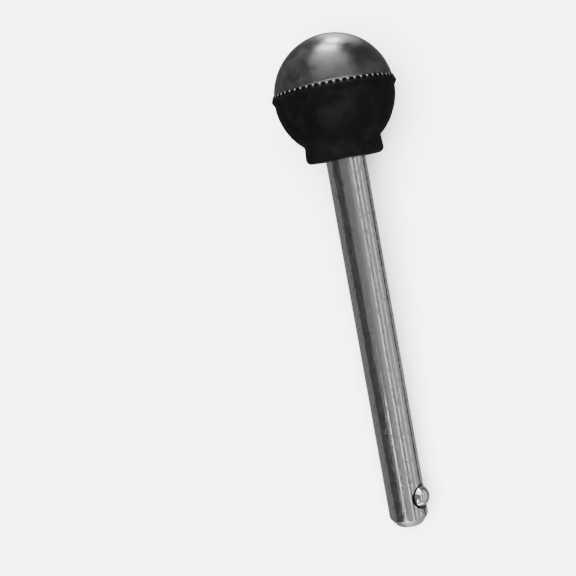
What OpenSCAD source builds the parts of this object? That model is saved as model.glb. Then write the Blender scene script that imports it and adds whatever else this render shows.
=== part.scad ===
// Weight stack pin: a plated steel rod, a rubber ball knob moulded on one end and a sprung ball in the other.
// Each piece is drawn on the pin's own axis, with the middle of the knob at zero and the dome upwards.
// lay() then puts the whole pin down on a table, where the knob's bead and the rod's tip touch it.

/* [Rod] */
// Diameter of the rod
rod_d = 12.7; // [11:0.1:16]
// Length of rod from the knob's collar to the tip
rod_l = 120.65; // [80:0.05:180]
// How far the tip's chamfer cuts in from the side of the rod
chamfer_in = 2; // [1:0.1:3]
// Length of the tip's chamfer along the rod
chamfer_l = 2.6; // [1:0.1:4]
// Rounding where the rod's side turns into the chamfer
side_round = 0.8; // [0.3:0.1:1.2]
// Rounding where the chamfer turns into the flat end
end_round = 0.5; // [0.2:0.1:0.8]

/* [Rod inside the knob] */
// Length of rod inside the knob
embed_l = 24; // [15:0.5:32]
// Number of grooves that lock the rubber to the rod
groove_n = 3; // [1:1:3]
// Width of a groove
groove_w = 2.4; // [1:0.1:3]
// Depth of a groove
groove_deep = 0.9; // [0.4:0.1:1.5]
// Distance from one groove to the next
groove_pitch = 5.4; // [4:0.1:7]
// Distance from the collar's underside to the middle of the first groove
groove_start = 6.5; // [5:0.1:8]
// Edge break on the hidden end of the rod
head_edge = 1; // [0.5:0.1:2]
// Gap between the rubber and the steel
bond_gap = 0.02; // [0.01:0.01:0.05]

/* [Knob] */
// Diameter of the ball of the knob
knob_d = 38.1; // [34:0.1:44]
// Height of the collar, from where it leaves the ball to its flat underside
collar_h = 5.5; // [4:0.1:9]
// Diameter of the collar where it leaves the ball
neck_d = 24.4; // [21:0.1:28]
// How far the collar's foot stands out past its neck
collar_flare = 0.25; // [0:0.05:0.6]
// Fillet between the ball and the collar
neck_fillet = 0.9; // [0.4:0.1:1.5]
// Rounding of the collar's lower edge
collar_round = 1.7; // [0.6:0.1:2]

/* [Bead around the knob] */
// How far the bead stands out past the ball
bead_out = 0.75; // [0.5:0.05:1.2]
// Height of the bead's crest above the ball's middle
bead_z = 0.9; // [0.3:0.1:1.4]
// Height of the ledge at the foot of the dome, above the ball's middle
ledge_z = 2.9; // [2.6:0.1:3.6]
// How far the ledge stands out past the dome
ledge_out = 0.28; // [0.15:0.01:0.5]
// Thickness of the ledge
ledge_t = 0.32; // [0.2:0.01:0.5]
// How far the bead's foot lies below its crest
bead_foot = 1.25; // [0.8:0.05:2]
// Rounding of the bead's crest
crest_round = 0.22; // [0.1:0.01:0.4]

/* [Teeth under the ledge] */
// Number of teeth round the bead
tooth_n = 58; // [40:1:64]
// Width of the gap between two teeth
notch_w = 1.3; // [0.8:0.05:1.4]
// Depth of the gap between two teeth
notch_deep = 0.5; // [0.3:0.05:0.6]
// Height of the gap between two teeth
notch_h = 1.05; // [0.8:0.05:1.3]
// Rim left between that gap and the ledge
notch_rim = 0.06; // [0.02:0.01:0.12]

/* [Detent] */
// Diameter of the detent ball
ball_d = 7.14; // [6.5:0.01:8.2]
// How far the ball stands out of the rod
ball_proud = 2.1; // [1:0.05:2.4]
// Distance from the rod's tip to the ball's middle
ball_from_tip = 9.4; // [8.5:0.1:16]
// Turn of the ball round the rod, from straight up
ball_turn = 73; // [0:1:90]
// Gap round the ball in its bore
ball_gap = 0.06; // [0.02:0.01:0.1]
// Steel left behind the blind bore
bore_wall = 1.6; // [1:0.1:2.5]
// Diameter of the dished mouth of the bore
mouth_d = 8.4; // [8.2:0.05:9.4]
// Depth of the dished mouth
mouth_deep = 0.45; // [0.2:0.05:0.6]

/* [Detent spring] */
// Outer diameter of the spring
spring_d = 5.6; // [4.8:0.1:6.2]
// Diameter of the spring's wire
wire_d = 0.6; // [0.4:0.05:0.7]
// Number of turns
turn_n = 4; // [3:0.5:4.5]
// Gap between the spring and what it sits on
spring_gap = 0.03; // [0.01:0.01:0.1]

/* [Hidden] */
$fn = 96;
cut_past = 1;

// Heights along the pin, from the middle of the knob
knob_r = knob_d / 2;
neck_r = neck_d / 2;
collar_z = -sqrt(pow(knob_r, 2) - pow(neck_r, 2)) - collar_h;
tip_z = collar_z - rod_l;
head_z = collar_z + embed_l;

// Rod: its tip, with the centres of both roundings
rod_r = rod_d / 2;
flat_r = rod_r - chamfer_in;
chamfer_a = atan(chamfer_in / chamfer_l);
chamfer_z = tip_z + chamfer_l;
side_run = side_round * tan(chamfer_a / 2);
side_c = [rod_r - side_round, chamfer_z + side_run];
end_run = end_round * tan((90 - chamfer_a) / 2);
end_c = [flat_r - end_run, tip_z + end_round];
out_of_chamfer = [cos(chamfer_a), -sin(chamfer_a)];

// Knob: its collar and the fillet under the ball
foot_r = neck_r + collar_flare;
fillet_c = [neck_r + neck_fillet, -sqrt(pow(knob_r + neck_fillet, 2) - pow(neck_r + neck_fillet, 2))];
fillet_top = fillet_c * knob_r / (knob_r + neck_fillet);

// Bead: the crest is a small round, and the flank runs from it up to the ledge
crest_c = [knob_r + bead_out - crest_round, bead_z];
ledge_r = sqrt(pow(knob_r, 2) - pow(ledge_z, 2)) + ledge_out;
ledge_low_z = ledge_z - ledge_t;
crest_top_z = bead_z + crest_round;
flank_r = (ledge_r + crest_c[0] + crest_round) / 2;
arch_z = ledge_low_z - notch_rim - notch_w / 2;
notch_low_z = ledge_low_z - notch_rim - notch_h;

// Detent: the ball's place at rest, its bore and its spring, measured outwards from the rod's axis
ball_r = ball_d / 2;
bore_r = ball_r + ball_gap;
ball_at = rod_r + ball_proud - ball_r;
bore_floor = bore_wall - rod_r;
ball_z = tip_z + ball_from_tip;
coil_r = (spring_d - wire_d) / 2;
wire_r = wire_d / 2;
spring_low = bore_floor + spring_gap;
spring_top = ball_at - sqrt(pow(ball_r + wire_r + spring_gap, 2) - pow(coil_r, 2)) + wire_r;
coil_rise = spring_top - spring_low - wire_d;
coil_steps = 24;
wire_sides = 8;
coil_rings = round(turn_n * coil_steps);

// Lying pose: the crest of the bead and the rounding of the tip both touch the table
reach = crest_c[1] - side_c[1];
drop = crest_c[0] - side_c[0];
lie_a = asin((crest_round - side_round) / norm([reach, drop])) + atan(drop / reach);
lie_h = crest_c[0] * cos(lie_a) + crest_round - crest_c[1] * sin(lie_a);
tip_reach = end_round - end_c[1] * cos(lie_a) + end_c[0] * sin(lie_a);
lie_x = (knob_r - tip_reach) / 2;

// Lays the pin along the table, with the tip towards +X and the dome towards -X
module lay() {
    translate([lie_x, 0, lie_h])
        rotate([0, lie_a - 90, 0])
            children();
}

// Turns what is drawn upwards to point out of the rod at the detent
module at_detent() {
    translate([0, 0, ball_z])
        rotate([0, 0, ball_turn])
            rotate([0, 90, 0])
                children();
}

// Outline of one groove, from its lower edge to its upper one
function groove_points(i, gap) =
    let (mid = collar_z + groove_start + i * groove_pitch, half_w = groove_w / 2 - gap)
    [
        [rod_r + gap, mid - half_w],
        [rod_r - groove_deep + gap, mid - half_w],
        [rod_r - groove_deep + gap, mid + half_w],
        [rod_r + gap, mid + half_w]
    ];

// Outline of the rod's hidden end, grown by a gap to make the knob's socket
function head_points(gap) = concat(
    [for (i = [0 : groove_n - 1], p = groove_points(i, gap)) p],
    [[rod_r + gap, head_z - head_edge + gap], [rod_r + gap - head_edge, head_z + gap], [0, head_z + gap]]
);

// Half outline of the whole rod, with its chamfered and rounded tip
module rod_outline() {
    polygon(concat(
        [
            [0, tip_z],
            [end_c[0], tip_z],
            end_c + end_round * out_of_chamfer,
            side_c + side_round * out_of_chamfer,
            [rod_r, side_c[1]]
        ],
        head_points(0)
    ));
    translate(end_c)
        circle(r = end_round);
    translate(side_c)
        circle(r = side_round);
}

// Half outline of the blind bore, closed in over the ball, with its dished mouth
module bore_outline() {
    translate([0, bore_floor])
        square([bore_r, ball_at - bore_floor]);
    intersection() {
        translate([0, ball_at])
            circle(r = bore_r);
        translate([0, ball_at])
            square(bore_r);
    }
    polygon([
        [0, rod_r - mouth_deep],
        [mouth_d / 2 - mouth_deep, rod_r - mouth_deep],
        [mouth_d / 2 + cut_past, rod_r + cut_past],
        [0, rod_r + cut_past]
    ]);
}

module shaft() {
    color([0.72, 0.72, 0.73])
        lay()
            difference() {
                rotate_extrude()
                    rod_outline();
                at_detent()
                    rotate_extrude()
                        bore_outline();
            }
}

// Half outline of the short collar, with the fillet under the ball
module collar_outline() {
    difference() {
        polygon([
            [0, fillet_c[1]],
            fillet_c,
            fillet_top,
            [0, fillet_top[1]]
        ]);
        translate(fillet_c)
            circle(r = neck_fillet);
    }
    polygon([
        [0, collar_z],
        [foot_r - collar_round, collar_z],
        [foot_r, collar_z + collar_round],
        [neck_r, fillet_c[1]],
        [0, fillet_c[1]]
    ]);
    translate([foot_r - collar_round, collar_z + collar_round])
        circle(r = collar_round);
}

// Half outline of the bead, from the ledge under the dome to its foot on the lower half
module bead_outline() {
    inner_r = knob_r - cut_past;
    polygon([
        [inner_r, ledge_z],
        [ledge_r, ledge_z],
        [ledge_r + ledge_t / 2, ledge_low_z],
        [crest_c[0] + crest_round, crest_top_z],
        [crest_c[0] + crest_round, bead_z],
        [knob_r, bead_z - bead_foot],
        [inner_r, bead_z - bead_foot]
    ]);
    translate(crest_c)
        circle(r = crest_round);
}

// Half outline of the knob's socket, open at the collar
module socket_outline() {
    polygon(concat(
        [[0, collar_z - cut_past], [rod_r + bond_gap, collar_z - cut_past]],
        head_points(bond_gap)
    ));
}

// One gap between two teeth: an arch cut into the bead's flank, under the ledge
module notch() {
    translate([flank_r - notch_deep, 0, arch_z])
        rotate([0, 90, 0])
            cylinder(d = notch_w, h = notch_deep + cut_past);
    translate([flank_r - notch_deep, -notch_w / 2, notch_low_z])
        cube([notch_deep + cut_past, notch_w, arch_z - notch_low_z]);
}

module knob() {
    color([0.09, 0.09, 0.09])
        lay()
            difference() {
                union() {
                    sphere(r = knob_r);
                    rotate_extrude()
                        collar_outline();
                    rotate_extrude()
                        bead_outline();
                }
                rotate_extrude()
                    socket_outline();
                for (i = [0 : tooth_n - 1])
                    rotate([0, 0, i * 360 / tooth_n])
                        notch();
            }
}

// Middle of the wire on ring i: the first and last turns lie nearly flat against their seats
function coil_t(i) = i / coil_rings;
function coil_h(i) = spring_low + wire_r + coil_rise * (3 - 2 * coil_t(i)) * pow(coil_t(i), 2);
function coil_point(i, j) =
    let (a = 360 * i / coil_steps, b = 360 * j / wire_sides, r = coil_r + wire_r * cos(b))
    [r * cos(a), r * sin(a), coil_h(i) + wire_r * sin(b)];

// A small compression spring, swept as one closed wire
module detent_spring() {
    points = [for (i = [0 : coil_rings], j = [0 : wire_sides - 1]) coil_point(i, j)];
    skin = [
        for (i = [0 : coil_rings - 1], j = [0 : wire_sides - 1])
            let (k = (j + 1) % wire_sides, p = i * wire_sides, q = p + wire_sides)
            [p + j, q + j, q + k, p + k]
    ];
    first_end = [for (j = [0 : wire_sides - 1]) j];
    last_end = [for (j = [wire_sides - 1 : -1 : 0]) coil_rings * wire_sides + j];
    color([0.6, 0.61, 0.62])
        lay()
            at_detent()
                polyhedron(points, concat([first_end], skin, [last_end]), convexity = 8);
}

module detent_ball() {
    color([0.82, 0.82, 0.83])
        lay()
            at_detent()
                translate([0, 0, ball_at])
                    sphere(r = ball_r);
}

shaft();
knob();
detent_spring();
detent_ball();
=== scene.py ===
"""Looks of the weight stack pin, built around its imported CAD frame.

The pin lies on a pale table, on the bead of its knob and the rounding of its tip. Every piece is drawn
upright on the pin's own axis, with the middle of the knob at zero and the dome upwards, in millimetres.
One matrix then lays it down and turns the millimetres into metres.
"""

import logging
import math
from collections.abc import Iterable
from dataclasses import dataclass, field
from enum import Enum

import bmesh
import bpy
from mathutils import Matrix, Vector


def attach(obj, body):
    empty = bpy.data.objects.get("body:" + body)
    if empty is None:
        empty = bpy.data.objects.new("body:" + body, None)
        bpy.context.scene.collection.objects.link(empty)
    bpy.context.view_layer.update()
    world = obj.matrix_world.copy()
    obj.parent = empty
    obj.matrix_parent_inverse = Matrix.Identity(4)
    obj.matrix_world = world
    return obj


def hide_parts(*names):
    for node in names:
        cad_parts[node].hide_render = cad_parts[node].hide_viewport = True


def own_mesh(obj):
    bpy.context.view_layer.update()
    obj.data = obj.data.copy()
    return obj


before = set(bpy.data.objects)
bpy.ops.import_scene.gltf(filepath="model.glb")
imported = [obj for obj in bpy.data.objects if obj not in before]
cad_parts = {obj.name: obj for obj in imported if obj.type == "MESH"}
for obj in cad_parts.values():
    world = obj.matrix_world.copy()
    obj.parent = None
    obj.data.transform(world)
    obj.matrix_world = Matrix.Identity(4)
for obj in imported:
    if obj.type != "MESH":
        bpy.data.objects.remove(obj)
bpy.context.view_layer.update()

Point = tuple[float, float]
MM = 0.001
LOG = logging.getLogger("weight_stack_pin")


class Body(Enum):
    """The moving bodies of the frame."""

    PIN = "pin"
    BALL = "ball"


class Slot(Enum):
    """The record's material slots."""

    ROD = "plated_rod"
    RUBBER = "black_rubber"
    WIRE = "spring_wire"
    BALL = "polished_ball"


@dataclass(frozen=True)
class PinSizes:
    """Sizes that more than one piece needs, in millimetres, and the pose in which the pin lies."""

    rod_r: float = 6.35
    rod_l: float = 120.65
    knob_r: float = 19.05
    neck_r: float = 12.2
    collar_h: float = 5.5
    embed_l: float = 24.0
    groove_n: int = 3
    groove_w: float = 2.4
    groove_deep: float = 0.9
    groove_pitch: float = 5.4
    groove_start: float = 6.5
    head_edge: float = 1.0
    chamfer_in: float = 2.0
    chamfer_l: float = 2.6
    side_round: float = 0.8
    end_round: float = 0.5
    crest_out: float = 0.75
    crest_z: float = 0.9
    crest_round: float = 0.22
    ball_r: float = 3.57
    ball_proud: float = 2.1
    ball_from_tip: float = 9.4
    ball_turn: float = 73.0

    @property
    def collar_z(self) -> float:
        """Height of the collar's underside."""
        return -math.sqrt(self.knob_r**2 - self.neck_r**2) - self.collar_h

    @property
    def tip_z(self) -> float:
        """Height of the rod's flat end."""
        return self.collar_z - self.rod_l

    @property
    def head_z(self) -> float:
        """Height of the rod's hidden end."""
        return self.collar_z + self.embed_l

    @property
    def ball_z(self) -> float:
        """Height of the detent ball's middle."""
        return self.tip_z + self.ball_from_tip

    @property
    def ball_at(self) -> float:
        """Distance of the detent ball's middle from the rod's axis."""
        return self.rod_r + self.ball_proud - self.ball_r

    @property
    def chamfer_a(self) -> float:
        """Slope of the tip's chamfer from the rod's side, in radians."""
        return math.atan(self.chamfer_in / self.chamfer_l)

    @property
    def side_c(self) -> Point:
        """Centre of the rounding between the rod's side and the chamfer."""
        run = self.side_round * math.tan(self.chamfer_a / 2)
        return self.rod_r - self.side_round, self.tip_z + self.chamfer_l + run

    @property
    def end_c(self) -> Point:
        """Centre of the rounding between the chamfer and the flat end."""
        run = self.end_round * math.tan((math.pi / 2 - self.chamfer_a) / 2)
        return self.rod_r - self.chamfer_in - run, self.tip_z + self.end_round

    @property
    def crest_c(self) -> Point:
        """Centre of the round crest of the knob's bead."""
        return self.knob_r + self.crest_out - self.crest_round, self.crest_z

    @property
    def lie_a(self) -> float:
        """Slope at which the rod lies, in radians: its bead and its tip both touch the table."""
        reach = self.crest_c[1] - self.side_c[1]
        drop = self.crest_c[0] - self.side_c[0]
        return math.asin((self.crest_round - self.side_round) / math.hypot(reach, drop)) + math.atan(drop / reach)

    @property
    def lie_at(self) -> Vector:
        """Place of the knob's middle as the pin lies."""
        cos_a, sin_a = math.cos(self.lie_a), math.sin(self.lie_a)
        tip_reach = self.end_round - self.end_c[1] * cos_a + self.end_c[0] * sin_a
        height = self.crest_c[0] * cos_a + self.crest_round - self.crest_c[1] * sin_a
        return Vector(((self.knob_r - tip_reach) / 2, 0, height))

    @property
    def turn_back(self) -> float:
        """Turn about Y that stands the lying pin upright again, in radians."""
        return math.pi / 2 - self.lie_a

    def lay(self) -> Matrix:
        """Returns the matrix that lays an upright piece on the table, in metres."""
        turn = Matrix.Rotation(-self.turn_back, 4, "Y")
        return Matrix.Scale(MM, 4) @ Matrix.Translation(self.lie_at) @ turn

    def at_detent(self) -> Matrix:
        """Returns the matrix that turns what is drawn upwards to point out of the rod at the detent."""
        swing = Matrix.Rotation(math.radians(self.ball_turn), 4, "Z")
        return Matrix.Translation((0, 0, self.ball_z)) @ swing @ Matrix.Rotation(math.pi / 2, 4, "Y")

    def groove_outline(self, gap: float) -> list[Point]:
        """Gives the outline of the rod's hidden end, from its lowest groove to the axis.

        Args:
            gap: how far the outline is grown, as for the socket in the knob.

        Returns:
            Points of radius and height.
        """
        side, floor = self.rod_r + gap, self.rod_r - self.groove_deep + gap
        half_w = self.groove_w / 2 - gap
        points: list[Point] = []
        for i in range(self.groove_n):
            mid = self.collar_z + self.groove_start + i * self.groove_pitch
            points += [(side, mid - half_w), (floor, mid - half_w), (floor, mid + half_w), (side, mid + half_w)]
        top = self.head_z + gap
        return points + [(side, top - self.head_edge), (side - self.head_edge, top), (0, top)]


def arc(centre: Point, radius: float, start: float, end: float, steps: int) -> list[Point]:
    """Gives points along an arc.

    Args:
        centre: radius and height of the arc's centre.
        radius: the arc's own radius.
        start: first angle in degrees, from straight outwards.
        end: last angle in degrees.
        steps: number of segments.

    Returns:
        The points, both ends included.
    """
    angles = [math.radians(start + (end - start) * i / steps) for i in range(steps + 1)]
    return [(centre[0] + radius * math.cos(a), centre[1] + radius * math.sin(a)) for a in angles]


def rows(low: Point, high: Point, count: int) -> list[Point]:
    """Gives the points inside a straight line, without its ends.

    Args:
        low: where the line starts.
        high: where it ends.
        count: number of segments.

    Returns:
        The points between the two ends.
    """
    return [tuple(Vector(low).lerp(Vector(high), i / count)) for i in range(1, count)]


def lathe(outline: Iterable[Point], steps: int) -> bmesh.types.BMesh:
    """Spins a half outline round the pin's axis.

    Args:
        outline: points of radius and height, in order.
        steps: number of segments round the axis.

    Returns:
        A mesh with its normals outwards.
    """
    bm = bmesh.new()
    verts = [bm.verts.new((r, 0, z)) for r, z in outline]
    edges = [bm.edges.new(pair) for pair in zip(verts, verts[1:])]
    bmesh.ops.spin(bm, geom=verts + edges, axis=(0, 0, 1), angle=2 * math.pi, steps=steps, use_merge=True)
    bmesh.ops.remove_doubles(bm, verts=bm.verts, dist=1e-4)
    bmesh.ops.recalc_face_normals(bm, faces=bm.faces)
    return bm


def soften(bm: bmesh.types.BMesh, edges: list[bmesh.types.BMEdge], width: float, segments: int = 2) -> None:
    """Rounds edges.

    Args:
        bm: the mesh.
        edges: the edges to round.
        width: how far the rounding reaches from each edge.
        segments: number of segments across it.
    """
    bmesh.ops.bevel(
        bm, geom=edges, offset=width, segments=segments, profile=0.5, affect="EDGES", material=-1, clamp_overlap=True
    )


class Shader:
    """A procedural material while its nodes are being wired."""

    def __init__(self, name: str, sizes: PinSizes) -> None:
        """Starts a material.

        Args:
            name: the material's name.
            sizes: where the pin lies, so that patterns can follow its axis.
        """
        self.material = bpy.data.materials.new(name)
        self.material.use_nodes = True
        self.nodes = self.material.node_tree.nodes
        self.links = self.material.node_tree.links
        self.surface = self.nodes["Principled BSDF"]
        self.sizes = sizes

    def add(self, kind: str, inputs: dict[str | int, object], **settings: object) -> bpy.types.Node:
        """Adds a node.

        Args:
            kind: the node's type.
            inputs: a value for each input, or the output socket that feeds it.
            settings: the node's own properties.

        Returns:
            The new node.
        """
        node = self.nodes.new(kind)
        for name, value in settings.items():
            setattr(node, name, value)
        self.feed(node, inputs)
        return node

    def feed(self, node: bpy.types.Node, inputs: dict[str | int, object]) -> None:
        """Sets or links a node's inputs.

        Args:
            node: the node.
            inputs: a value for each input, or the output socket that feeds it.
        """
        for name, value in inputs.items():
            if isinstance(value, bpy.types.NodeSocket):
                self.links.new(value, node.inputs[name])
            else:
                node.inputs[name].default_value = value

    def along_pin(self) -> bpy.types.NodeSocket:
        """Returns coordinates in millimetres with Z along the pin's axis and the knob's middle at zero."""
        turn = Matrix.Rotation(self.sizes.turn_back, 3, "Y")
        inputs = {
            "Vector": self.add("ShaderNodeTexCoord", {}).outputs["Object"],
            "Scale": (1 / MM,) * 3,
            "Rotation": (0, self.sizes.turn_back, 0),
            "Location": -(turn @ self.sizes.lie_at),
        }
        return self.add("ShaderNodeMapping", inputs).outputs["Vector"]

    def stretched(self, vector: bpy.types.NodeSocket, scale: tuple[float, float, float]) -> bpy.types.NodeSocket:
        """Returns the coordinates scaled on each axis."""
        return self.add("ShaderNodeMapping", {"Vector": vector, "Scale": scale}).outputs["Vector"]

    def noise(
        self, vector: bpy.types.NodeSocket, size: float, detail: float = 2.0, rough: float = 0.5
    ) -> bpy.types.NodeSocket:
        """Adds a cloudy pattern.

        Args:
            vector: coordinates in millimetres.
            size: rough size of a cloud, in millimetres.
            detail: how many finer octaves it carries.
            rough: how strong those octaves are.

        Returns:
            A value from 0 to 1.
        """
        inputs = {"Vector": vector, "Scale": 1 / size, "Detail": detail, "Roughness": rough}
        return self.add("ShaderNodeTexNoise", inputs).outputs["Fac"]

    def remap(
        self, value: bpy.types.NodeSocket, old: Point, new: Point, smooth: bool = True
    ) -> bpy.types.NodeSocket:
        """Maps one range of a value to another, with the ends held.

        Args:
            value: the value.
            old: the range that it is taken from.
            new: the range that it is given.
            smooth: whether the change eases in and out.

        Returns:
            The mapped value.
        """
        inputs = {"Value": value, "From Min": old[0], "From Max": old[1], "To Min": new[0], "To Max": new[1]}
        kind = "SMOOTHSTEP" if smooth else "LINEAR"
        return self.add("ShaderNodeMapRange", inputs, interpolation_type=kind).outputs["Result"]

    def math(self, operation: str, a: object, b: object) -> bpy.types.NodeSocket:
        """Returns the result of one sum on two values."""
        return self.add("ShaderNodeMath", {0: a, 1: b}, operation=operation).outputs["Value"]

    def span(self, a: bpy.types.NodeSocket, b: bpy.types.NodeSocket) -> bpy.types.NodeSocket:
        """Returns the length of a line that reaches a along one axis and b along another."""
        return self.math("SQRT", self.math("ADD", self.math("POWER", a, 2), self.math("POWER", b, 2)), 0)

    def tint(
        self, factor: bpy.types.NodeSocket, low: str | bpy.types.NodeSocket, high: str
    ) -> bpy.types.NodeSocket:
        """Mixes two colours.

        Args:
            factor: 0 for the first colour, 1 for the second.
            low: the first colour, as an sRGB hex code or the socket that gives it.
            high: the second colour.

        Returns:
            The mixed colour.
        """
        inputs = {"Factor": factor, 6: linear(low) if isinstance(low, str) else low, 7: linear(high)}
        return self.add("ShaderNodeMix", inputs, data_type="RGBA").outputs[2]

    def bump(
        self, height: bpy.types.NodeSocket, depth: float, under: bpy.types.NodeSocket | None = None
    ) -> bpy.types.NodeSocket:
        """Turns a height into a bent normal.

        Args:
            height: the pattern, from 0 to 1.
            depth: what 1 stands for, in millimetres.
            under: a normal that this one is laid over.

        Returns:
            The normal.
        """
        inputs = {"Height": height, "Distance": depth * MM, "Strength": 1.0}
        if under is not None:
            inputs["Normal"] = under
        return self.add("ShaderNodeBump", inputs).outputs["Normal"]


def linear(code: str) -> tuple[float, float, float, float]:
    """Turns an sRGB hex colour into a linear one with full alpha."""
    parts = [int(code[i : i + 2], 16) / 255 for i in (1, 3, 5)]
    return (*[c / 12.92 if c <= 0.04045 else ((c + 0.055) / 1.055) ** 2.4 for c in parts], 1.0)


class Finish:
    """One material of the pin."""

    def material(self, sizes: PinSizes) -> bpy.types.Material:
        """Returns the finished material."""
        raise NotImplementedError


@dataclass(frozen=True)
class PlatedRod(Finish):
    """Bright plated rod: what gives it away is the lengthwise draw lines that streak its reflections."""

    light: str = "#c9c9ca"
    dull: str = "#8f8f91"
    # dark colour painted as shade round the bore's mouth
    bore_shade_colour: str = "#0e0e0e"
    line_size: float = 0.7
    line_stretch: float = 0.007
    line_depth: float = 0.007
    fine_size: float = 0.3
    fine_depth: float = 0.003
    speck_size: float = 0.6
    speck_depth: float = 0.022
    bore_shade_reach: Point = (4.3, 4.1)
    roughness: Point = (0.07, 0.18)

    def material(self, sizes: PinSizes) -> bpy.types.Material:
        """Returns the finished material."""
        sh = Shader("bright plated drawn steel", sizes)
        pin = sh.along_pin()
        lines = sh.stretched(pin, (1, 1, self.line_stretch))
        broad = sh.noise(lines, self.line_size, 3, 0.6)
        fine = sh.noise(lines, self.fine_size, 2, 0.5)
        specks = sh.noise(sh.stretched(pin, (1, 1, 0.35)), self.speck_size, 4, 0.65)
        # spot_mark here: worn specks on the rod, duller and dented
        spot_mark = sh.remap(specks, (0.54, 0.68), (0, 1))
        under = sh.bump(broad, self.line_depth)
        under = sh.bump(fine, self.fine_depth, under)
        normal = sh.bump(spot_mark, self.speck_depth, under)
        streaks = sh.remap(broad, (0.3, 0.7), (0, 1))
        steel = sh.tint(sh.math("MULTIPLY", spot_mark, 0.6), self.light, self.dull)
        inputs = {
            # painted shade: the steel darkens round the bore's mouth on the +Y side
            "Base Color": sh.tint(self.bore_shade(sh, pin), steel, self.bore_shade_colour),
            "Metallic": 1.0,
            "Roughness": sh.remap(streaks, (0, 1), self.roughness),
            "Normal": normal,
        }
        sh.feed(sh.surface, inputs)
        return sh.material

    def bore_shade(self, sh: Shader, pin: bpy.types.NodeSocket) -> bpy.types.NodeSocket:
        """Returns where painted shade rings the mouth of the bore, on the rod's +Y side only, from 0 to 1."""
        turn = math.radians(sh.sizes.ball_turn)
        place = sh.add("ShaderNodeSeparateXYZ", {"Vector": pin}).outputs
        left, right = sh.math("MULTIPLY", place["X"], math.sin(turn)), sh.math("MULTIPLY", place["Y"], math.cos(turn))
        across = sh.math("SUBTRACT", left, right)
        along = sh.math("SUBTRACT", place["Z"], sh.sizes.ball_z)
        near = sh.remap(sh.span(across, along), self.bore_shade_reach, (0, 1))
        return sh.math("MULTIPLY", near, sh.remap(place["Y"], (0, 2), (0, 1)))


@dataclass(frozen=True)
class TurnedSteel(Finish):
    """Chamfer and flat end of the rod: turned after plating, so they show a plain light band with no draw lines."""

    light: str = "#dadadb"
    mark_size: float = 1.5
    mark_depth: float = 0.01
    roughness: float = 0.26

    def material(self, sizes: PinSizes) -> bpy.types.Material:
        """Returns the finished material."""
        sh = Shader("turned steel", sizes)
        marks = sh.noise(sh.along_pin(), self.mark_size, 2, 0.5)
        inputs = {
            "Base Color": linear(self.light),
            "Metallic": 1.0,
            "Roughness": self.roughness,
            "Normal": sh.bump(marks, self.mark_depth),
        }
        sh.feed(sh.surface, inputs)
        return sh.material


@dataclass(frozen=True)
class ShadedBore(Finish):
    """Steel of the bore, painted dark as shade: it rings the bright ball with a thin dark line."""

    # dark colour painted in as the shade inside the bore
    colour: str = "#161616"
    roughness: float = 0.45

    def material(self, sizes: PinSizes) -> bpy.types.Material:
        """Returns the finished material."""
        sh = Shader("bore steel painted dark as shade", sizes)
        sh.feed(sh.surface, {"Base Color": linear(self.colour), "Roughness": self.roughness})
        return sh.material


@dataclass(frozen=True)
class SatinRubber(Finish):
    """Moulded black rubber dome: handling has rubbed it to a soft sheen with duller scuffs."""

    dark: str = "#050505"
    scuffed: str = "#161616"
    scuff_size: float = 8.0
    swell_size: float = 6.0
    swell_depth: float = 0.1
    grain_size: float = 1.1
    grain_depth: float = 0.024
    roughness: Point = (0.28, 0.44)

    def material(self, sizes: PinSizes) -> bpy.types.Material:
        """Returns the finished material."""
        sh = Shader("black rubber, rubbed to a sheen", sizes)
        pin = sh.along_pin()
        clouds = sh.noise(pin, self.scuff_size, 6, 0.6)
        scuffs = sh.remap(clouds, (0.38, 0.66), (0, 1))
        swell = sh.bump(sh.noise(pin, self.swell_size, 1, 0.4), self.swell_depth)
        inputs = {
            "Base Color": sh.tint(scuffs, self.dark, self.scuffed),
            "Roughness": sh.remap(scuffs, (0, 1), self.roughness),
            "Normal": sh.bump(sh.noise(pin, self.grain_size, 3, 0.6), self.grain_depth, swell),
        }
        sh.feed(sh.surface, inputs)
        return sh.material


@dataclass(frozen=True)
class TeethWithPaintedHighlights(Finish):
    """Black rubber on the teeth, with a highlight painted on their upper ends, so each one shows as a small light
    dot.
    """

    dark: str = "#060606"
    # light colour of the painted highlight on each tooth's top
    spot_mark: str = "#585858"
    tooth_n: int = 58
    pitch: float = 2.1
    highlight_z: float = 2.27
    highlight_reach: Point = (0.4, 0.1)
    sheen: float = 0.25
    roughness: float = 0.35

    def material(self, sizes: PinSizes) -> bpy.types.Material:
        """Returns the finished material."""
        sh = Shader("black rubber, painted highlights on the teeth tops", sizes)
        place = sh.add("ShaderNodeSeparateXYZ", {"Vector": sh.along_pin()}).outputs
        turn = sh.math("ARCTAN2", place["Y"], place["X"])
        share = sh.math("FRACT", sh.math("MULTIPLY", turn, self.tooth_n / (2 * math.pi)), 0)
        aside = sh.math("MULTIPLY", sh.math("SUBTRACT", share, 0.5), self.pitch)
        above = sh.math("SUBTRACT", place["Z"], self.highlight_z)
        # painted highlight: a light dot at the top of each tooth
        spot_mark = sh.remap(sh.span(aside, above), self.highlight_reach, (0, 1))
        inputs = {
            "Base Color": sh.tint(spot_mark, self.dark, self.spot_mark),
            "Roughness": self.roughness,
            "Specular IOR Level": self.sheen,
        }
        sh.feed(sh.surface, inputs)
        return sh.material


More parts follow.
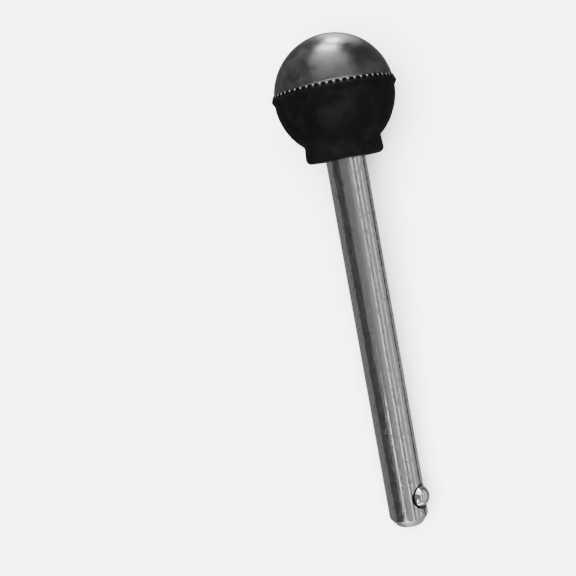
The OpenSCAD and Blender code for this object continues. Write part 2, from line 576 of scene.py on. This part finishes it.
@dataclass(frozen=True)
class MatteRubber(Finish):
    """Moulded black rubber as it left the mould: deep black, with hardly a sheen."""

    dark: str = "#030303"
    dusty: str = "#070707"
    dust_size: float = 9.0
    grain_size: float = 0.6
    grain_depth: float = 0.01
    sheen: float = 0.08
    roughness: float = 0.6

    def material(self, sizes: PinSizes) -> bpy.types.Material:
        """Returns the finished material."""
        sh = Shader("black rubber, as moulded", sizes)
        pin = sh.along_pin()
        dust = sh.remap(sh.noise(pin, self.dust_size, 4, 0.6), (0.42, 0.66), (0, 1))
        inputs = {
            "Base Color": sh.tint(dust, self.dark, self.dusty),
            "Roughness": self.roughness,
            "Specular IOR Level": self.sheen,
            "Normal": sh.bump(sh.noise(pin, self.grain_size, 3, 0.6), self.grain_depth),
        }
        sh.feed(sh.surface, inputs)
        return sh.material


@dataclass(frozen=True)
class PolishedSteel(Finish):
    """Bearing-ball steel: a mirror with faint rub marks."""

    name: str = "polished bearing steel"
    light: str = "#d9d9da"
    roughness: Point = (0.05, 0.14)
    rub_size: float = 2.0

    def material(self, sizes: PinSizes) -> bpy.types.Material:
        """Returns the finished material."""
        sh = Shader(self.name, sizes)
        rubs = sh.remap(sh.noise(sh.along_pin(), self.rub_size, 3, 0.6), (0.4, 0.7), (0, 1))
        inputs = {
            "Base Color": linear(self.light),
            "Metallic": 1.0,
            "Roughness": sh.remap(rubs, (0, 1), self.roughness),
        }
        sh.feed(sh.surface, inputs)
        return sh.material


@dataclass(frozen=True)
class PaleTable(Finish):
    """Matt white table top."""

    colour: str = "#f6f6f5"

    def material(self, sizes: PinSizes) -> bpy.types.Material:
        """Returns the finished material."""
        sh = Shader("pale table", sizes)
        sh.feed(sh.surface, {"Base Color": linear(self.colour), "Roughness": 0.9, "Specular IOR Level": 0.1})
        return sh.material


@dataclass
class Piece:
    """One named piece of the pin, from its mesh to its place on the table."""

    name: str
    node: str
    body: Body
    slot: Slot
    sizes: PinSizes
    smooth_under: float = 35.0

    def shape(self) -> bmesh.types.BMesh:
        """Returns the piece's mesh, upright on the pin's axis."""
        raise NotImplementedError

    def finishes(self) -> list[Finish]:
        """Returns the piece's finishes, in the order of its material numbers."""
        raise NotImplementedError

    def build(self) -> bpy.types.Object:
        """Builds the piece, dresses it and ties it to the frame.

        Returns:
            The new object.
        """
        bm = self.shape()
        bmesh.ops.transform(bm, matrix=self.sizes.lay(), verts=bm.verts)
        mesh = bpy.data.meshes.new(self.name)
        bm.to_mesh(mesh)
        bm.free()
        mesh.shade_smooth()
        mesh.set_sharp_from_angle(angle=math.radians(self.smooth_under))
        for finish in self.finishes():
            mesh.materials.append(finish.material(self.sizes))
        obj = bpy.data.objects.new(self.name, mesh)
        bpy.context.scene.collection.objects.link(obj)
        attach(obj, self.body.value)
        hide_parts(self.node)
        LOG.info("%s: %d faces", self.name, len(mesh.polygons))
        return obj


@dataclass
class Rod(Piece):
    """The plated rod, with its chamfered tip, its hidden grooved end and the bore of the detent."""

    sides: int = 128
    patch_sides: int = 40
    patch_rows: int = 24
    patch_half: float = 5.6
    ball_gap: float = 0.06
    bore_wall: float = 1.6
    mouth_r: float = 4.2
    mouth_deep: float = 0.45
    mouth_edge: float = 0.07
    patch_cuts: int = 6
    ring_shares: tuple[float, ...] = (0, 0.1, 0.25, 0.45, 0.7, 1, 2)

    @property
    def floor_at(self) -> float:
        """Height of the bore's floor above the rod's axis."""
        return self.bore_wall - self.sizes.rod_r

    def finishes(self) -> list[Finish]:
        """Returns the finishes of the rod's side, of its tip and of the bore."""
        return [PlatedRod(), TurnedSteel(), ShadedBore()]

    def outline(self) -> list[Point]:
        """Returns the rod's half outline from its flat end up to its hidden end."""
        s = self.sizes
        slope = math.degrees(s.chamfer_a)
        low, high = (s.rod_r, s.ball_z - self.patch_half), (s.rod_r, s.ball_z + self.patch_half)
        shank_top = (s.rod_r, s.collar_z)
        points = [(0, s.tip_z), (s.end_c[0] * 0.6, s.tip_z)]
        points += arc(s.end_c, s.end_round, -90, -slope, 5)
        points += arc(s.side_c, s.side_round, -slope, 0, 5)
        points += [low, *rows(low, high, self.patch_rows), high]
        points += [*rows(high, shank_top, 16), shank_top]
        return points + s.groove_outline(0)

    def bore_radius(self, height: float) -> float:
        """Returns the bore's radius at a height above the rod's axis: a cylinder, a closed-in cap, a dished mouth."""
        s = self.sizes
        bore_r = s.ball_r + self.ball_gap
        above = max(height - s.ball_at, 0)
        cap = math.sqrt(max(bore_r**2 - above**2, 0))
        if height < s.rod_r - self.mouth_deep:
            return cap
        return max(cap, self.mouth_r + height - s.rod_r)

    def rim_height(self, angle: float) -> float:
        """Finds where the bore comes out of the rod's side, in one direction round the bore.

        Args:
            angle: direction round the bore, from along the rod, in radians.

        Returns:
            The height of that point above the rod's axis.
        """
        low, high = 0.0, self.sizes.rod_r
        height = high
        for _ in range(40):
            radius = (low + high) / 2
            height = math.sqrt(self.sizes.rod_r**2 - (radius * math.sin(angle)) ** 2)
            low, high = (radius, high) if radius < self.bore_radius(height) else (low, radius)
        return height

    def open_patch(self, bm: bmesh.types.BMesh) -> list[bmesh.types.BMEdge]:
        """Takes away the rod's side round the bore.

        Args:
            bm: the rod, with the detent towards +X.

        Returns:
            The edges round the opening.
        """
        s = self.sizes
        half_turn = math.pi * self.patch_sides / self.sides
        patch = []
        for face in bm.faces:
            centre = face.calc_center_median()
            turned = abs(math.atan2(centre.y, centre.x)) < half_turn
            if turned and centre.xy.length > s.rod_r * 0.9 and abs(centre.z - s.ball_z) < self.patch_half:
                patch.append(face)
        bmesh.ops.delete(bm, geom=patch, context="FACES")
        return [edge for edge in bm.edges if edge.is_boundary]

    def bore_ring(self, bm: bmesh.types.BMesh, count: int, share: float) -> list[bmesh.types.BMEdge]:
        """Adds one ring round the bore's wall.

        Args:
            bm: the rod, with the detent towards +X.
            count: number of points round the ring.
            share: 0 at the rod's side, 1 level with the ball's middle, more below it.

        Returns:
            The ring's edges.
        """
        s = self.sizes
        verts = bmesh.ops.create_circle(bm, segments=count, radius=self.mouth_r)["verts"]
        for i, vert in enumerate(verts):
            angle = 2 * math.pi * i / count
            rim = self.rim_height(angle)
            height = rim + (s.ball_at - rim) * min(share, 1) + (self.floor_at - s.ball_at) * max(share - 1, 0)
            radius = self.bore_radius(height)
            vert.co = (height, radius * math.sin(angle), s.ball_z + radius * math.cos(angle))
        return list({edge for vert in verts for edge in vert.link_edges})

    def cut_bore(self, bm: bmesh.types.BMesh) -> None:
        """Joins the rod's side to the bore's mouth and draws the bore down into the rod.

        Args:
            bm: the rod, with the detent towards +X.
        """
        opening = self.open_patch(bm)
        rings = [self.bore_ring(bm, len(opening), share) for share in self.ring_shares]
        spokes = bmesh.ops.bridge_loops(bm, edges=opening + rings[0])["edges"]
        inner = bmesh.ops.subdivide_edges(bm, edges=spokes, cuts=self.patch_cuts)["geom_inner"]
        for vert in (item for item in inner if isinstance(item, bmesh.types.BMVert)):
            vert.co.xy = vert.co.xy.normalized() * self.sizes.rod_r
        walls = []
        for upper, lower in zip(rings, rings[1:]):
            walls += bmesh.ops.bridge_loops(bm, edges=upper + lower)["faces"]
        walls += bmesh.ops.edgeloop_fill(bm, edges=rings[-1])["faces"]
        # the bore's walls take the third finish: the bore painted dark as shade
        for face in walls:
            face.material_index = 2
        soften(bm, rings[0], self.mouth_edge)
        bmesh.ops.recalc_face_normals(bm, faces=bm.faces)

    def shape(self) -> bmesh.types.BMesh:
        """Returns the rod's mesh, upright on the pin's axis."""
        s = self.sizes
        bm = lathe(self.outline(), self.sides)
        for face in bm.faces:
            face.material_index = 1 if face.calc_center_median().z < s.side_c[1] - s.side_round * math.sin(s.chamfer_a) else 0
        self.cut_bore(bm)
        turn = Matrix.Rotation(math.radians(self.sizes.ball_turn), 3, "Z")
        bmesh.ops.rotate(bm, verts=bm.verts, cent=(0, 0, 0), matrix=turn)
        return bm


@dataclass
class Knob(Piece):
    """The moulded ball knob: a satin dome, a toothed bead under its ledge, and a matte skirt with a collar."""

    bond_gap: float = 0.02
    collar_flare: float = 0.25
    neck_fillet: float = 0.9
    collar_round: float = 1.7
    ledge_z: float = 2.9
    ledge_out: float = 0.28
    ledge_t: float = 0.32
    ledge_soft: float = 0.07
    bead_foot: float = 1.25
    tooth_n: int = 58
    columns: int = 8
    notch_w: float = 1.3
    notch_deep: float = 0.5
    notch_h: float = 1.05
    notch_rim: float = 0.06
    notch_rows: int = 5

    def finishes(self) -> list[Finish]:
        """Returns the finishes of the dome, of the teeth and of the skirt."""
        return [SatinRubber(), TeethWithPaintedHighlights(), MatteRubber()]

    @property
    def ledge_r(self) -> float:
        """Radius of the ledge under the dome."""
        return math.sqrt(self.sizes.knob_r**2 - self.ledge_z**2) + self.ledge_out

    @property
    def flank_top(self) -> Point:
        """Upper end of the toothed flank."""
        return self.ledge_r + self.ledge_t / 2, self.ledge_z - self.ledge_t

    @property
    def flank_low(self) -> Point:
        """Lower end of the toothed flank, on the bead's crest."""
        s = self.sizes
        return s.crest_c[0] + s.crest_round, s.crest_z + s.crest_round

    @property
    def notch_top_z(self) -> float:
        """Height of the top of the gaps between teeth."""
        return self.flank_top[1] - self.notch_rim

    @property
    def notch_low_z(self) -> float:
        """Height of the bottom of the gaps between teeth."""
        return self.notch_top_z - self.notch_h

    def flank_at(self, height: float) -> float:
        """Returns the flank's radius at a height."""
        share = (self.flank_top[1] - height) / (self.flank_top[1] - self.flank_low[1])
        return self.flank_top[0] + share * (self.flank_low[0] - self.flank_top[0])

    def bead_outline(self) -> list[Point]:
        """Returns the bead's outline from the ledge's inner corner down to its foot on the skirt."""
        s = self.sizes
        corner = (self.ledge_r - self.ledge_soft, self.ledge_z - self.ledge_soft)
        levels = [self.notch_top_z, self.notch_low_z]
        cells = rows((0, levels[0]), (0, levels[1]), self.notch_rows)
        heights = [levels[0], *[cell[1] for cell in cells], levels[1]]
        points = [(math.sqrt(s.knob_r**2 - self.ledge_z**2), self.ledge_z)]
        points += arc(corner, self.ledge_soft, 90, 20, 3)
        points += [self.flank_top, *[(self.flank_at(z), z) for z in heights], self.flank_low]
        points += arc(s.crest_c, s.crest_round, 0, -30, 3)
        return points + [(s.knob_r, s.crest_z - self.bead_foot)]

    def collar_outline(self) -> list[Point]:
        """Returns the outline from the fillet under the ball to the collar's underside."""
        s = self.sizes
        out = s.neck_r + self.neck_fillet
        centre = (out, -math.sqrt((s.knob_r + self.neck_fillet) ** 2 - out**2))
        start = math.degrees(math.atan2(-centre[1], -centre[0]))
        foot = (s.neck_r + self.collar_flare - self.collar_round, s.collar_z + self.collar_round)
        return arc(centre, self.neck_fillet, start, 180, 8) + arc(foot, self.collar_round, 0, -90, 10)

    def outline(self) -> list[Point]:
        """Returns the knob's half outline, from the top of the dome round to the end of its socket."""
        s = self.sizes
        top = math.degrees(math.asin(self.ledge_z / s.knob_r))
        foot_z = s.crest_z - self.bead_foot
        skirt = math.degrees(math.asin(foot_z / s.knob_r))
        fillet = self.collar_outline()[0]
        neck = math.degrees(math.atan2(fillet[1], fillet[0]))
        dome = arc((0, 0), s.knob_r, 90, top, 36)[:-1]
        lower = arc((0, 0), s.knob_r, skirt, neck, 24)[1:-1]
        socket = [(s.rod_r + self.bond_gap, s.collar_z), *s.groove_outline(self.bond_gap)]
        return dome + self.bead_outline() + lower + self.collar_outline() + socket

    def cut_notches(self, bm: bmesh.types.BMesh) -> list[bmesh.types.BMFace]:
        """Draws the flank's cells into arches and sinks them between the teeth.

        Args:
            bm: the knob, upright.

        Returns:
            The faces inside the gaps.
        """
        step = 2 * math.pi / (self.tooth_n * self.columns)
        half = self.notch_w / 2
        across = {-2: -half, -1: -0.6 * half, 0: 0.0, 1: 0.6 * half, 2: half}
        arch_z = self.notch_top_z - half
        span = self.notch_top_z - self.notch_low_z
        inside: set[bmesh.types.BMVert] = set()
        for vert in bm.verts:
            on_flank = abs(vert.co.xy.length - self.flank_at(vert.co.z)) < 0.01
            if not on_flank or not self.notch_low_z - 0.01 < vert.co.z < self.notch_top_z + 0.01:
                continue
            turn = round(math.atan2(vert.co.y, vert.co.x) / step)
            column = (turn + self.columns // 2) % self.columns - self.columns // 2
            if column not in across:
                continue
            side = across[column]
            arch = arch_z + math.sqrt(half**2 - side**2)
            height = self.notch_low_z + (vert.co.z - self.notch_low_z) / span * (arch - self.notch_low_z)
            radius = self.flank_at(height)
            angle = (turn - column) * step + side / radius
            vert.co = (radius * math.cos(angle), radius * math.sin(angle), height)
            inside.add(vert)
        cells = [face for face in bm.faces if all(vert in inside for vert in face.verts)]
        floor_r = (self.flank_top[0] + self.flank_low[0]) / 2 - self.notch_deep
        sunk = bmesh.ops.extrude_face_region(bm, geom=cells)["geom"]
        low = {item for item in sunk if isinstance(item, bmesh.types.BMVert)}
        for vert in low:
            vert.co.xy = vert.co.xy.normalized() * floor_r
        bmesh.ops.delete(bm, geom=[face for face in cells if face.is_valid], context="FACES_ONLY")
        return list({face for vert in low for face in vert.link_faces})

    def shape(self) -> bmesh.types.BMesh:
        """Returns the knob's mesh, upright on the pin's axis."""
        bm = lathe(self.outline(), self.tooth_n * self.columns)
        gaps = set(self.cut_notches(bm))
        for face in bm.faces:
            height = face.calc_center_median().z
            outer = face.calc_center_median().xy.length > self.sizes.rod_r + 1 or height > self.sizes.head_z + 1
            tooth = self.notch_low_z < height < self.flank_top[1] and face not in gaps
            dome = height > self.flank_top[1] - 0.01 and outer
            face.material_index = 0 if dome else 1 if tooth and outer else 2
        bmesh.ops.recalc_face_normals(bm, faces=bm.faces)
        return bm


@dataclass
class DetentBall(Piece):
    """The bearing ball that the spring holds out of the rod."""

    sides: int = 96

    def finishes(self) -> list[Finish]:
        """Returns the ball's one finish."""
        return [PolishedSteel()]

    def shape(self) -> bmesh.types.BMesh:
        """Returns the ball's mesh in its place in the upright pin."""
        s = self.sizes
        bm = lathe(arc((0, 0), s.ball_r, 90, -90, self.sides // 2), self.sides)
        place = s.at_detent() @ Matrix.Translation((0, 0, s.ball_at))
        bmesh.ops.transform(bm, matrix=place, verts=bm.verts)
        return bm


@dataclass
class DetentSpring(Piece):
    """The small compression spring under the ball."""

    outer_r: float = 2.8
    wire_r: float = 0.3
    turns: int = 4
    steps: int = 32
    wire_sides: int = 12
    seat_gap: float = 0.03
    floor_at: float = -4.75

    @property
    def coil_r(self) -> float:
        """Radius of the middle of the wire round the spring's axis."""
        return self.outer_r - self.wire_r

    @property
    def low(self) -> float:
        """Height of the spring's foot above the rod's axis."""
        return self.floor_at + self.seat_gap

    @property
    def high(self) -> float:
        """Height of the spring's top, where the ball sits on it."""
        s = self.sizes
        reach = s.ball_r + self.wire_r + self.seat_gap
        return s.ball_at - math.sqrt(reach**2 - self.coil_r**2) + self.wire_r

    def finishes(self) -> list[Finish]:
        """Returns the spring's one finish."""
        return [PolishedSteel(name="drawn spring wire", light="#a8a9aa", roughness=(0.25, 0.4), rub_size=0.8)]

    def height_at(self, share: float) -> float:
        """Returns the height of the wire's middle part way along, with the end turns lying nearly flat."""
        rise = self.high - self.low - 2 * self.wire_r
        return self.low + self.wire_r + rise * (3 - 2 * share) * share**2

    def shape(self) -> bmesh.types.BMesh:
        """Returns the spring's mesh in its place in the upright pin."""
        bm = bmesh.new()
        start = Matrix.Translation((self.coil_r, 0, self.height_at(0))) @ Matrix.Rotation(math.pi / 2, 4, "X")
        bmesh.ops.create_circle(bm, cap_ends=True, segments=self.wire_sides, radius=self.wire_r, matrix=start)
        loop = list(bm.edges)
        count = self.turns * self.steps
        turn = Matrix.Rotation(2 * math.pi / self.steps, 3, "Z")
        for i in range(count):
            grown = bmesh.ops.extrude_edge_only(bm, edges=loop)["geom"]
            moved = [item for item in grown if isinstance(item, bmesh.types.BMVert)]
            loop = [item for item in grown if isinstance(item, bmesh.types.BMEdge)]
            loop = [edge for edge in loop if all(vert in moved for vert in edge.verts)]
            bmesh.ops.rotate(bm, verts=moved, cent=(0, 0, 0), matrix=turn)
            rise = self.height_at((i + 1) / count) - self.height_at(i / count)
            bmesh.ops.translate(bm, verts=moved, vec=(0, 0, rise))
        bmesh.ops.edgeloop_fill(bm, edges=loop)
        bmesh.ops.recalc_face_normals(bm, faces=bm.faces)
        bmesh.ops.transform(bm, matrix=self.sizes.at_detent(), verts=bm.verts)
        return bm

    def build(self) -> bpy.types.Object:
        """Builds the spring and gives it a mesh of its own.

        Returns:
            The new object.
        """
        obj = super().build()
        s = self.sizes
        place = s.lay() @ s.at_detent()
        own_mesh(obj)
        return obj


@dataclass(frozen=True)
class Table:
    """The pale table top under the pin."""

    half: float = 4.0
    finish: PaleTable = field(default_factory=PaleTable)

    def build(self, sizes: PinSizes) -> None:
        """Lays the table top at zero height."""
        bm = bmesh.new()
        bmesh.ops.create_grid(bm, x_segments=1, y_segments=1, size=self.half)
        mesh = bpy.data.meshes.new("table")
        bm.to_mesh(mesh)
        bm.free()
        mesh.materials.append(self.finish.material(sizes))
        obj = bpy.data.objects.new("table", mesh)
        obj.visible_glossy = False
        bpy.context.scene.collection.objects.link(obj)


class Role(Enum):
    """What a rectangle of the studio does."""

    LAMP = "lights the table and shows in mirrors"
    GLINT = "shows in mirrors alone"
    FILL = "lights the table, unseen by mirrors"
    CARD = "dark cloth that only mirrors see"


@dataclass(frozen=True)
class Panel:
    """One rectangle of the studio, placed by its direction from the pin."""

    name: str
    role: Role
    bearing: float
    elevation: float
    distance: float
    size: Point
    power: float = 0.0
    aim: tuple[float, float, float] = (0.0, 0.0, 0.01)

    def lamp(self) -> bpy.types.Object:
        """Returns an area light of the panel's size."""
        data = bpy.data.lights.new(self.name, "AREA")
        data.shape = "RECTANGLE"
        data.size, data.size_y = self.size
        data.energy = self.power
        obj = bpy.data.objects.new(self.name, data)
        obj.visible_camera = False
        obj.visible_glossy = self.role is not Role.FILL
        obj.visible_diffuse = self.role is not Role.GLINT
        return obj

    def cloth(self) -> bpy.types.Object:
        """Returns a black card of the panel's size."""
        bm = bmesh.new()
        bmesh.ops.create_grid(bm, x_segments=1, y_segments=1, size=0.5)
        bmesh.ops.scale(bm, vec=(*self.size, 1), verts=bm.verts)
        mesh = bpy.data.meshes.new(self.name)
        bm.to_mesh(mesh)
        bm.free()
        black = bpy.data.materials.new("black studio cloth")
        black.use_nodes = True
        black.node_tree.nodes["Principled BSDF"].inputs["Base Color"].default_value = linear("#1c1c1c")
        black.node_tree.nodes["Principled BSDF"].inputs["Roughness"].default_value = 1.0
        mesh.materials.append(black)
        obj = bpy.data.objects.new(self.name, mesh)
        obj.visible_camera = obj.visible_diffuse = obj.visible_shadow = False
        return obj

    def build(self) -> None:
        """Hangs the panel so that it faces the pin."""
        bearing, elevation = math.radians(self.bearing), math.radians(self.elevation)
        out = Vector((math.cos(bearing) * math.cos(elevation), math.sin(bearing) * math.cos(elevation), math.sin(elevation)))
        obj = self.cloth() if self.role is Role.CARD else self.lamp()
        obj.location = Vector(self.aim) + out * self.distance
        obj.rotation_euler = (-out).to_track_quat("-Z", "Y").to_euler()
        bpy.context.scene.collection.objects.link(obj)


@dataclass(frozen=True)
class Studio:
    """Light and camera: a dim tent, a window low beyond the knob, and dark cards along the rod's sides."""

    left: float = 0.25
    right: float = 0.5
    bright_side: tuple[float, float, float] = (0.6, 1.0, 0.0)
    lens: float = 56.8
    eye: tuple[float, float, float] = (-0.0052, 0.0699, 0.2976)
    forward: tuple[float, float, float] = (0.0075, -0.3229, -0.9464)
    up: tuple[float, float, float] = (-0.9883, 0.1420, -0.0563)
    panels: tuple[Panel, ...] = (
        Panel("window", Role.GLINT, 178, 5, 0.75, (0.26, 0.14), 9, (-0.06, 0, 0.02)),
        Panel("window_low", Role.GLINT, 177, -18, 0.75, (0.14, 0.14), 4.5, (-0.06, 0, 0.02)),
        Panel("window_rim", Role.GLINT, 180, -38, 0.75, (0.36, 0.18), 1.3, (-0.06, 0, 0.02)),
        Panel("window_mid", Role.LAMP, 173, 24, 0.75, (0.8, 0.24), 4, (-0.06, 0, 0.02)),
        Panel("window_upper", Role.LAMP, 160, 48, 0.8, (1.0, 0.6), 5, (-0.06, 0, 0.02)),
        Panel("spot_front", Role.LAMP, 355, 44, 0.8, (0.16, 0.16), 1.5, (0.07, 0, 0.01)),
        Panel("window_front", Role.GLINT, 0, 3, 0.7, (0.7, 0.16), 1.5, (0.07, 0, 0.01)),
        Panel("slit_tip", Role.LAMP, 350, 66, 0.8, (0.02, 0.2), 0.1, (0.07, 0, 0.01)),
        Panel("slit_a", Role.LAMP, 90, 48, 0.7, (1.4, 0.03), 0.4),
        Panel("slit_b", Role.LAMP, 90, 24, 0.7, (1.4, 0.03), 0.4),
        Panel("slit_c", Role.GLINT, 90, -4, 0.7, (1.4, 0.03), 0.4),
        Panel("table_fill", Role.FILL, 0, 89, 1.3, (1.6, 1.6), 158),
        Panel("card_low", Role.CARD, 90, -40, 0.5, (1.3, 0.12)),
        Panel("card_knob", Role.CARD, 232, 30, 0.4, (0.4, 0.4), (-0.06, 0, 0.02)),
        Panel("card_left", Role.CARD, 280, 39, 0.55, (1.3, 0.46)),
        Panel("card_right", Role.CARD, 82, 35, 0.5, (1.3, 0.03)),
    )

    def tent(self) -> bpy.types.World:
        """Returns the tent round the table, brighter on the right."""
        world = bpy.data.worlds.new("studio tent")
        world.use_nodes = True
        nodes, links = world.node_tree.nodes, world.node_tree.links
        ray = nodes.new("ShaderNodeTexCoord")
        side = nodes.new("ShaderNodeVectorMath")
        side.operation = "DOT_PRODUCT"
        side.inputs[1].default_value = self.bright_side
        level = nodes.new("ShaderNodeMapRange")
        level.inputs["From Min"].default_value, level.inputs["From Max"].default_value = 0.25, 0.6
        level.inputs["To Min"].default_value, level.inputs["To Max"].default_value = self.left, self.right
        links.new(ray.outputs["Generated"], side.inputs[0])
        links.new(side.outputs["Value"], level.inputs["Value"])
        links.new(level.outputs["Result"], nodes["Background"].inputs["Strength"])
        nodes["Background"].inputs["Color"].default_value = linear("#ffffff")
        return world

    def camera(self) -> bpy.types.Object:
        """Returns the camera, standing where the photographer's stood."""
        lens = bpy.data.cameras.new("camera")
        lens.lens = self.lens
        lens.clip_start, lens.clip_end = 0.01, 20
        obj = bpy.data.objects.new("camera", lens)
        ahead, up = Vector(self.forward).normalized(), Vector(self.up)
        right = ahead.cross(up).normalized()
        axes = Matrix((right, right.cross(ahead), -ahead)).transposed().to_4x4()
        obj.matrix_world = Matrix.Translation(self.eye) @ axes
        return obj

    def build(self) -> None:
        """Sets the tent, the panels and the camera."""
        scene = bpy.context.scene
        scene.world = self.tent()
        for panel in self.panels:
            panel.build()
        scene.camera = self.camera()
        scene.collection.objects.link(scene.camera)


def main() -> None:
    """Builds the pin, the table and the light."""
    logging.basicConfig(level=logging.INFO, format="%(name)s %(message)s")
    sizes = PinSizes()
    pieces: list[Piece] = [
        Rod("rod_plated", "shaft", Body.PIN, Slot.ROD, sizes),
        Knob("knob_rubber", "knob", Body.PIN, Slot.RUBBER, sizes),
        DetentSpring("detent_spring_wire", "detent_spring", Body.PIN, Slot.WIRE, sizes),
        DetentBall("detent_ball_steel", "detent_ball", Body.BALL, Slot.BALL, sizes),
    ]
    for piece in pieces:
        piece.build()
    Table().build(sizes)
    Studio().build()


if __name__ == "__main__":
    main()
